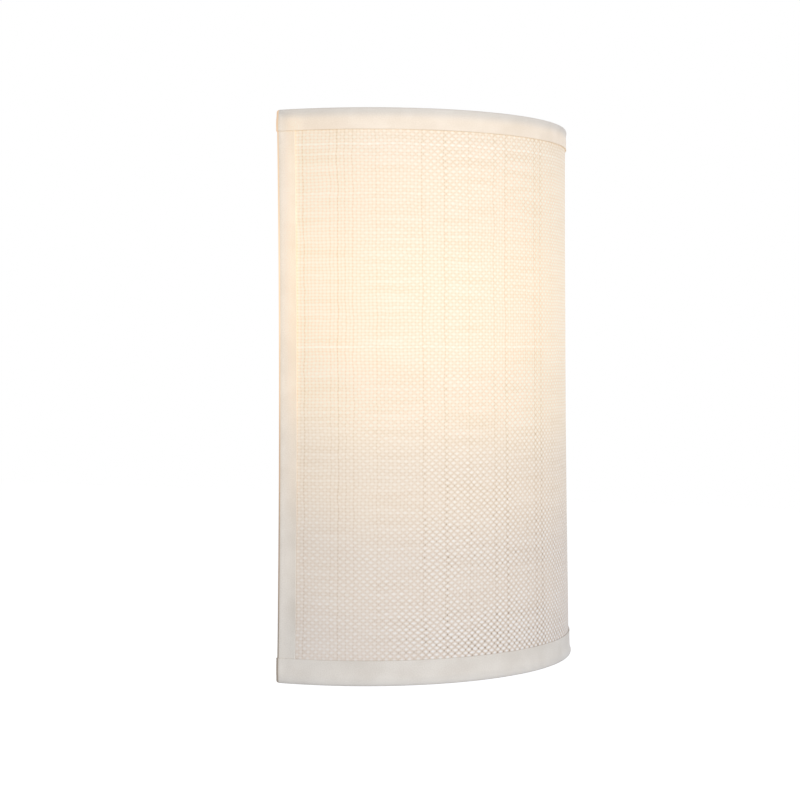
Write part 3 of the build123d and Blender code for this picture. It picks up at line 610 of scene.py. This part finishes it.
def hem_skin(plan, side, leaf, half_width, placed, extra):
    """One skin of a hem: cut to its leaf, lifted off the laminate's middle and put in place."""
    skin = plan.copy()
    leaf_end = leaf - wire_reach
    cut(skin, 1, leaf_end, clear=True)
    for back in (0.4, edge_width):
        cut(skin, 1, leaf_end - back)

    def place_of(plan_x, plan_y):
        x, y, away = rounded(plan_x, plan_y, half_width)
        rise = (1 - (1 - min(1.0, max(0.0, away / wire_reach))) ** squareness) ** (1 / squareness)
        level = min(1.0, max(0.0, (away - wire_reach) / roll_reach))
        lift = rise * (wire_reach + (leaf_lift - wire_reach) * level * (2 - level))
        if side > 0:
            lift += edge_height * max(0.0, 1 - ((leaf_end - y) / edge_width) ** 2)
        s, z = placed(x, y)
        return s, z, side * (lift + rise * extra(x)) - drawn_in(z)

    wrap(skin, place_of)
    return skin


def hem(name, plan, leaf, half_width, placed, extra):
    """A whole hem: outer and inner skins joined along the rolled edge, and given thickness."""
    outer = hem_skin(plan, 1, leaf, half_width, placed, extra)
    inner = hem_skin(plan, -1, inner_hem, half_width, placed, extra)
    plan.free()
    for face in inner.faces:
        face.material_index = 1
    spare = bpy.data.meshes.new("skin")
    inner.to_mesh(spare)
    inner.free()
    outer.from_mesh(spare)
    bpy.data.meshes.remove(spare)
    bmesh.ops.remove_doubles(outer, verts=outer.verts, dist=0.005 * mm)
    bmesh.ops.recalc_face_normals(outer, faces=outer.faces)
    piece = finished(name, outer, [tape, tape_inside])
    thicken(piece, tape_thickness)
    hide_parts(name.replace("hem", "binding"))
    return piece


end_stretch = (wire_reach + overlap_lift) / wire_reach
for name, sign, leaf in (("top_hem", 1, top_hem), ("bottom_hem", -1, bottom_hem)):

    def placed(x, y, sign=sign):
        past = max(0.0, abs(x) - half_way)
        way = half_way + x + (end_stretch - 1) * past * (1 if x > 0 else -1)
        return way, sign * (ring_level - y)

    def extra(x):
        return overlap_lift * (1 - eased((half_way - abs(x) - overlap_from) / overlap_slope))

    half_width = half_way + wire_reach
    plan = hem_plan(2 * half_width, 120, True)
    hem(name, plan, leaf, half_width, placed, extra)

for name, sign in (("left_side_hem", -1), ("right_side_hem", 1)):

    def placed(x, y, sign=sign):
        return y if sign < 0 else wall_length - y, x

    plan = hem_plan(2 * (half_height - tuck), 60, False)
    hem(name, plan, side_hem, wall_length, placed, lambda x: 0.0)

# Wire frame: round steel wire, welded at the corners and coated white. The side wires follow the
# cloth, which draws them in a little at mid height; only their ends show, inside the hems.
wire_radius = 1.5


def dress(material, *names):
    """Give CAD nodes their material."""
    for name in names:
        for place in nodes[name].material_slots:
            place.material = material


# Powder coat: sprayed and baked, so an even off-white with a very slight orange peel.
powder_coat, tree = surface("white_powder_coated_steel")
place = add(tree, "ShaderNodeTexCoord").outputs["Object"]
peel = add(tree, "ShaderNodeTexNoise", {"Vector": place, "Scale": cells(1.61), "Detail": 2.0})
drift = add(tree, "ShaderNodeTexNoise", {"Vector": place, "Scale": cells(41.7), "Detail": 3.0})
colour = add(tree, "ShaderNodeValToRGB", {0: drift}, stops=[
    (0.35, linear("#e3e1da")), (0.65, linear("#ebe9e3"))])
rough = add(tree, "ShaderNodeMapRange", {"Value": peel, "To Min": 0.36, "To Max": 0.52})
relief = add(tree, "ShaderNodeBump", {"Height": peel, "Strength": 0.25, "Distance": 0.06 * mm})
shade_with(tree, {
    "Base Color": colour, "Roughness": rough, "Normal": relief,
    "Coat Weight": 0.15, "Coat Roughness": 0.25})


def rod(name, slices, lengths, placed):
    """Round wire cut into slices along its length and bent to its place on the shade."""
    whole = bmesh.new()
    for length, way in lengths:
        wire = bmesh.new()
        bmesh.ops.create_cone(
            wire, cap_ends=True, segments=20, radius1=wire_radius, radius2=wire_radius, depth=length)
        for step in range(1, slices):
            cut(wire, 2, length * (step / slices - 0.5))
        for vert in wire.verts:
            vert.co = placed(way, *vert.co)
        bmesh.ops.recalc_face_normals(wire, faces=wire.faces)
        spare = bpy.data.meshes.new("wire")
        wire.to_mesh(spare)
        wire.free()
        whole.from_mesh(spare)
        bpy.data.meshes.remove(spare)
    return finished(name, whole, [powder_coat])


def on_ring(level, out, up, along):
    """Place of a point of straight wire once it is a ring at a level."""
    return wrapped(half_way + along, level + up, out - drawn_in(level))


def on_side(way, out, back, z):
    """Place of a point of straight wire once it stands at a way round the shade."""
    return wrapped(way, z, -drawn_in(z)) + Vector((out, back, 0)) * mm


ring_length = wall_length + 2 * wire_radius
rings = rod("half_rings", 90, [(ring_length, ring_level), (ring_length, -ring_level)], on_ring)
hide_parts("top_ring", "bottom_ring")
side_length = 2 * (ring_level - wire_radius)
wires = rod("bowed_side_wires", 40, [(side_length, 0.0), (side_length, wall_length)], on_side)
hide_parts("side_wires")

# Hangers: steel straps cranked forward over the wall pan, welded to the side wires through slits
# in the hems and coated with the frame; each has a hole at its middle for a stud.
dress(powder_coat, "upper_hanger", "lower_hanger")


def lines(spacing):
    """Scale of a wave texture, which repeats every 0.314, for lines this many millimetres apart."""
    return 0.314 / (spacing * mm)


# Thumb nuts: turned brass with a fluted rim, nickel plated, run down on the studs by hand. The
# plating is bright and a little warm, with fine turning rings and faint stains.
nickel, tree = surface("nickel_plated_turned_brass")
place = add(tree, "ShaderNodeTexCoord").outputs["Object"]
stain = add(tree, "ShaderNodeTexNoise", {"Vector": place, "Scale": cells(5.56), "Detail": 4.0})
colour = add(tree, "ShaderNodeValToRGB", {0: stain}, stops=[
    (0.35, linear("#bdb6a6")), (0.65, linear("#d5cfc2"))])
rough = {"Value": stain, "From Min": 0.3, "From Max": 0.7, "To Min": 0.30, "To Max": 0.16}
rough = add(tree, "ShaderNodeMapRange", rough)
turning = {"Vector": place, "Scale": lines(0.748), "Distortion": 0.6}
turning = add(tree, "ShaderNodeTexWave", turning, wave_type="BANDS", bands_direction="Y")
relief = add(tree, "ShaderNodeBump", {"Height": turning, "Strength": 0.12, "Distance": 0.03 * mm})
shade_with(tree, {"Base Color": colour, "Metallic": 1.0, "Roughness": rough, "Normal": relief})
dress(nickel, "upper_thumb_nut", "lower_thumb_nut", "bulb_cap")


def plated(name, thread_pitch=None, axis="Y", thread_from=-100.0):
    """Bright zinc on steel, cool with a faint blue and straw stain, plain or with a cut thread."""
    material, tree = surface(name)
    place = add(tree, "ShaderNodeTexCoord").outputs["Object"]
    stain = add(tree, "ShaderNodeTexNoise", {"Vector": place, "Scale": cells(7.14), "Detail": 4.0})
    colour = add(tree, "ShaderNodeValToRGB", {0: stain}, stops=[
        (0.30, linear("#b6bbc2")), (0.50, linear("#c2c5c8")), (0.70, linear("#c8c7c1"))])
    rough = add(tree, "ShaderNodeMapRange", {"Value": stain, "To Min": 0.26, "To Max": 0.46})
    height = add(tree, "ShaderNodeTexNoise", {"Vector": place, "Scale": cells(0.667), "Detail": 2.0})
    depth = 0.02
    if thread_pitch:
        wave = {"Vector": place, "Scale": lines(thread_pitch)}
        wave = add(
            tree, "ShaderNodeTexWave", wave, wave_type="BANDS", bands_direction=axis, wave_profile="SIN")
        along = add(tree, "ShaderNodeSeparateXYZ", {0: place}).outputs["XYZ".index(axis)]
        cut_there = add(tree, "ShaderNodeMath", {0: along, 1: thread_from * mm}, operation="GREATER_THAN")
        wave = add(tree, "ShaderNodeMath", {0: wave.outputs["Fac"], 1: cut_there}, operation="MULTIPLY")
        height = add(tree, "ShaderNodeMath", {0: height, 1: 0.05, 2: wave}, operation="MULTIPLY_ADD")
        depth = 0.35
    relief = add(tree, "ShaderNodeBump", {"Height": height, "Strength": 0.8, "Distance": depth * mm})
    shade_with(tree, {"Base Color": colour, "Metallic": 1.0, "Roughness": rough, "Normal": relief})
    return material


# Wall crossbar: pressed steel flat, bright zinc plated, with slots for the wall box, a hole for the
# supply cable and two tapped collars that the pan's screws run into.
dress(plated("bright_zinc_plated_strip"), "wall_bracket")

# Wall pan: a shallow tray drawn from sheet steel and coated white, with its rim against the wall.
# Two domed machine screws hold it on the crossbar, and two studs pressed in its face carry the shade.
heads_at = -21.0  # the thread of the pan's screws runs from here to the wall
dress(powder_coat, "wall_pan")
machine_screw = plated("zinc_plated_machine_screw", thread_pitch=0.7, thread_from=heads_at)
dress(machine_screw, "pan_screws")
dress(plated("zinc_plated_stud", thread_pitch=0.7), "shade_studs", "earth_stud")

# Lamp arm: steel strip bent to an angle and coated with the pan, held to it by two rivets; the
# threaded nipple and its nut clamp the lampholder on its shelf.
dress(powder_coat, "lamp_arm")
dress(plated("zinc_plated_nipple", thread_pitch=1.0, axis="Z"), "arm_nipple")
dress(plated("zinc_plated_pressed_part"), "nipple_nut", "earth_nut", "block_screw")

# Rivets and the lamp's board: plain aluminium, headed cold or sheared from rolled sheet, dull
# with fine rolling lines.
rolled, tree = surface("rolled_aluminium")
place = add(tree, "ShaderNodeTexCoord").outputs["Object"]
drawn_out = {"Vector": place, "Scale": (cells(16.7), cells(0.714), cells(0.714))}
drawn_out = add(tree, "ShaderNodeMapping", drawn_out)
streak = add(tree, "ShaderNodeTexNoise", {"Vector": drawn_out, "Scale": 1.0, "Detail": 3.0})
colour = add(tree, "ShaderNodeValToRGB", {0: streak}, stops=[
    (0.3, linear("#b7b9bb")), (0.7, linear("#cfd0d1"))])
rough = add(tree, "ShaderNodeMapRange", {"Value": streak, "To Min": 0.34, "To Max": 0.55})
relief = add(tree, "ShaderNodeBump", {"Height": streak, "Strength": 0.3, "Distance": 0.02 * mm})
shade_with(tree, {"Base Color": colour, "Metallic": 1.0, "Roughness": rough, "Normal": relief})
dress(rolled, "arm_rivets", "bulb_board")


def moulded(name, dark, pale, roughness, grain_size, grain_depth):
    """Moulded plastic or pressed clay: colour drifts slightly, and the tool's texture shows."""
    material, tree = surface(name)
    place = add(tree, "ShaderNodeTexCoord").outputs["Object"]
    drift = add(tree, "ShaderNodeTexNoise", {"Vector": place, "Scale": cells(14.3), "Detail": 3.0})
    colour = add(tree, "ShaderNodeValToRGB", {0: drift}, stops=[(0.35, linear(dark)), (0.65, linear(pale))])
    grain = add(tree, "ShaderNodeTexVoronoi", {"Vector": place, "Scale": cells(grain_size)})
    rough = {"Value": grain.outputs["Distance"], "To Min": roughness - 0.05, "To Max": roughness + 0.07}
    rough = add(tree, "ShaderNodeMapRange", rough)
    relief = {"Height": grain.outputs["Distance"], "Strength": 0.35, "Distance": grain_depth * mm}
    relief = add(tree, "ShaderNodeBump", relief)
    shade_with(tree, {"Base Color": colour, "Roughness": rough, "Normal": relief})
    return material


# Lampholder: a dome and a barrel moulded in heat-resisting white polyester, joined at a band, round
# a carrier pressed from steatite clay and fired unglazed, which holds the screw shell.
polyester = moulded("spark_textured_white_polyester", "#dcd8ce", "#e6e2d9", 0.42, 0.35, 0.03)
dress(polyester, "lampholder_dome", "lampholder_barrel")
dress(moulded("unglazed_steatite", "#d6cfc0", "#e4decf", 0.74, 0.5, 0.05), "terminal_carrier")

# Current-carrying metal: brass strip, stamped, rolled or drilled. Bright yellow where it was cut,
# browner in blotches where it was handled and heated.
brass, tree = surface("stamped_yellow_brass")
place = add(tree, "ShaderNodeTexCoord").outputs["Object"]
handled = add(tree, "ShaderNodeTexNoise", {"Vector": place, "Scale": cells(4.55), "Detail": 4.0})
colour = add(tree, "ShaderNodeValToRGB", {0: handled}, stops=[
    (0.32, linear("#8f6c35")), (0.46, linear("#b99350")), (0.68, linear("#d2b16c"))])
rough = {"Value": handled, "From Min": 0.3, "From Max": 0.7, "To Min": 0.48, "To Max": 0.24}
rough = add(tree, "ShaderNodeMapRange", rough)
drawn_out = {"Vector": place, "Scale": (cells(0.556), cells(0.556), cells(6.25))}
drawn_out = add(tree, "ShaderNodeMapping", drawn_out)
scratch = add(tree, "ShaderNodeTexNoise", {"Vector": drawn_out, "Scale": 1.0, "Detail": 2.0})
relief = add(tree, "ShaderNodeBump", {"Height": scratch, "Strength": 0.35, "Distance": 0.02 * mm})
shade_with(tree, {"Base Color": colour, "Metallic": 1.0, "Roughness": rough, "Normal": relief})
dress(brass, "screw_shell", "centre_contact", "holder_terminals", "terminal_inserts")
dress(brass, "earth_ring", "bulb_contact")
dress(plated("zinc_plated_small_screw", thread_pitch=0.5), "holder_screws", "terminal_screws")

# Lamp: an opal polycarbonate dome over a white thermoplastic body, on a plated screw cap with a
# black glass insulator. The dome is lit, brightest at its crown and dimmer at its cut edge.
dome_low = 49.8
dome_high = 89.8
opal, tree = surface("lit_opal_polycarbonate")
place = add(tree, "ShaderNodeTexCoord").outputs["Object"]
up = add(tree, "ShaderNodeSeparateXYZ", {0: place}).outputs[2]
share = {"Value": up, "From Min": dome_low * mm, "From Max": dome_high * mm}
share = add(tree, "ShaderNodeMapRange", share)
tint = add(tree, "ShaderNodeValToRGB", {0: share}, stops=[
    (0.0, linear("#ffca86")), (0.25, linear("#ffe0b0")), (0.7, linear("#fff0d6")),
    (1.0, linear("#fff4e2"))])
power = add(tree, "ShaderNodeMapRange", {"Value": share, "To Min": 0.62, "To Max": 1.0})
grain = add(tree, "ShaderNodeTexNoise", {"Vector": place, "Scale": cells(1.11), "Detail": 2.0})
colour = add(tree, "ShaderNodeValToRGB", {0: grain}, stops=[
    (0.3, linear("#ece8df")), (0.7, linear("#f3f0e9"))])
relief = add(tree, "ShaderNodeBump", {"Height": grain, "Strength": 0.15, "Distance": 0.02 * mm})
shade_with(tree, {
    "Base Color": colour, "Normal": relief, "Roughness": 0.45,
    "Emission Color": tint, "Emission Strength": power})
dress(opal, "bulb_dome")
dress(moulded("gloss_white_thermoplastic", "#e4e3de", "#ecebe7", 0.26, 0.6, 0.01), "bulb_body")

# Fused black glass: nearly mirror smooth with faint flow lines from the mould.
vitrite, tree = surface("fused_black_glass")
place = add(tree, "ShaderNodeTexCoord").outputs["Object"]
flow = {"Vector": place, "Scale": cells(3.85), "Detail": 3.0, "Distortion": 1.2}
flow = add(tree, "ShaderNodeTexNoise", flow)
colour = add(tree, "ShaderNodeValToRGB", {0: flow}, stops=[
    (0.4, linear("#120e12")), (0.7, linear("#2a2029"))])
relief = add(tree, "ShaderNodeBump", {"Height": flow, "Strength": 0.2, "Distance": 0.05 * mm})
shade_with(tree, {"Base Color": colour, "Roughness": 0.12, "Normal": relief})
dress(vitrite, "bulb_insulator")

# Leads: stranded copper in smooth vinyl, black live, white neutral and green earth. Live and
# neutral run from the lampholder down the nipple and through the bush to the block in the pan;
# the earth runs from the block to a crimped ring on its stud.
lead_radius = 1.1
lamp_out = 64.0
holder_reach = 10.0  # from the lamp's axis to the lampholder's screws
nipple_reach = 1.4  # from the nipple's axis to each lead in it
wiring_level = -72.0
entry_depth = 14.3
earth_depth = 18.9
block_mouth = -92.0


def vinyl(name, dark, pale):
    """Extruded vinyl: glossy, with faint scuffs from being pulled through the holes."""
    material, tree = surface(name)
    place = add(tree, "ShaderNodeTexCoord").outputs["Object"]
    scuff = add(tree, "ShaderNodeTexNoise", {"Vector": place, "Scale": cells(3.125), "Detail": 4.0})
    colour = add(tree, "ShaderNodeValToRGB", {0: scuff}, stops=[(0.35, linear(dark)), (0.65, linear(pale))])
    rough = add(tree, "ShaderNodeMapRange", {"Value": scuff, "To Min": 0.28, "To Max": 0.48})
    relief = add(tree, "ShaderNodeBump", {"Height": scuff, "Strength": 0.2, "Distance": 0.05 * mm})
    shade_with(tree, {"Base Color": colour, "Roughness": rough, "Normal": relief, "Coat Weight": 0.1})
    return material


def lead(name, route, material):
    """A short wire along its route, from one terminal to the other."""
    curve = bpy.data.curves.new(name, "CURVE")
    curve.dimensions = "3D"
    line = curve.splines.new("NURBS")
    line.points.add(len(route) - 1)
    for point, spot in zip(line.points, route):
        point.co = (*[part * mm for part in spot], 1.0)
    line.order_u = 3
    line.use_endpoint_u = True
    line.resolution_u = 12
    curve.bevel_depth = lead_radius * mm
    curve.bevel_resolution = 4
    curve.use_fill_caps = True
    curve.materials.append(material)
    piece = bpy.data.objects.new(name + "_wire", curve)
    scene.collection.objects.link(piece)
    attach(piece, "root")
    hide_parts(name)
    start = [part * mm for part in route[0]]


for name, side, pole, length, slot_name, material in (
    ("live_lead", -1, -10.0, 107.7, "lead_black", vinyl("black_vinyl", "#121212", "#212121")),
    ("neutral_lead", 1, 0.0, 105.2, "lead_white", vinyl("white_vinyl", "#d9d8d3", "#e6e5e1")),
):
    outside = side * holder_reach
    inside = side * nipple_reach
    route = [
        (outside, -lamp_out, -34.5),
        (outside, -lamp_out, -39.2),
        (inside, -lamp_out, -44.4),
        (inside, -lamp_out, -54.4),
        (inside, -lamp_out, wiring_level),
        (inside, -29.9, wiring_level),
        (inside, -entry_depth, wiring_level),
        (pole, -entry_depth, -85.0),
        (pole, -entry_depth, block_mouth),
    ]
    lead(name, route, material)
earth_route = [
    (10.0, -entry_depth, block_mouth),
    (10.0, -entry_depth, -80.0),
    (30.0, -earth_depth, -86.6),
    (34.0, -earth_depth, -78.6),
    (34.0, -earth_depth, -67.7),
]
lead("earth_lead", earth_route, vinyl("green_vinyl", "#1f6e3c", "#2c8a4e"))

# Bush where the leads pass arm and pan: black rubber, moulded with a groove that both sheets sit in.
dress(moulded("moulded_black_rubber", "#191817", "#242322", 0.8, 0.25, 0.04), "lead_grommet")

# Terminal block: three poles moulded in natural nylon round brass inserts, screwed inside the pan.
dress(moulded("natural_nylon", "#d8d3c2", "#e6e2d4", 0.38, 0.45, 0.03), "terminal_block")
